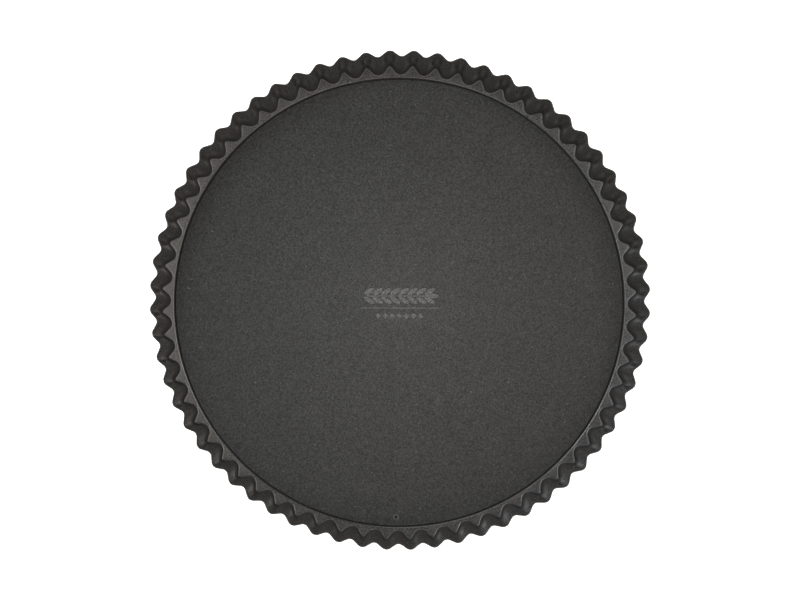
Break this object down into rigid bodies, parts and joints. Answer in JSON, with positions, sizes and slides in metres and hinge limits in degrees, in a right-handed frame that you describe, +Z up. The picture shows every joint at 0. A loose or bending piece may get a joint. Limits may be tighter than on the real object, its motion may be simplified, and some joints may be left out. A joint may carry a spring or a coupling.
{
  "type": "tart pan",
  "caption": "Round tart pan: a fluted, flared ring with an inward seat flange, and a loose flat base that lifts out.",
  "frame": {"origin": "centre of the plane that the ring's seat flange rests on", "axes": "+Z up along the pan's axis, towards the open mouth; the base's small hole is towards -Y"},
  "size_m": [0.2798, 0.2798, 0.028],
  "materials": {
    "ring_coating": "satin dark non-stick coating, slightly brown",
    "base_coating": "matt grey-black non-stick coating with a fine light speckle"
  },
  "bodies": {
    "ring": {"fluted_ring": "ring_coating"},
    "base": {"loose_base": "base_coating"}
  },
  "joints": [
    {"name": "base_lift", "type": "slide", "parent": "ring", "child": "base", "axis": [0, 0, 1], "range_m": [0, 0.04]}
  ]
}
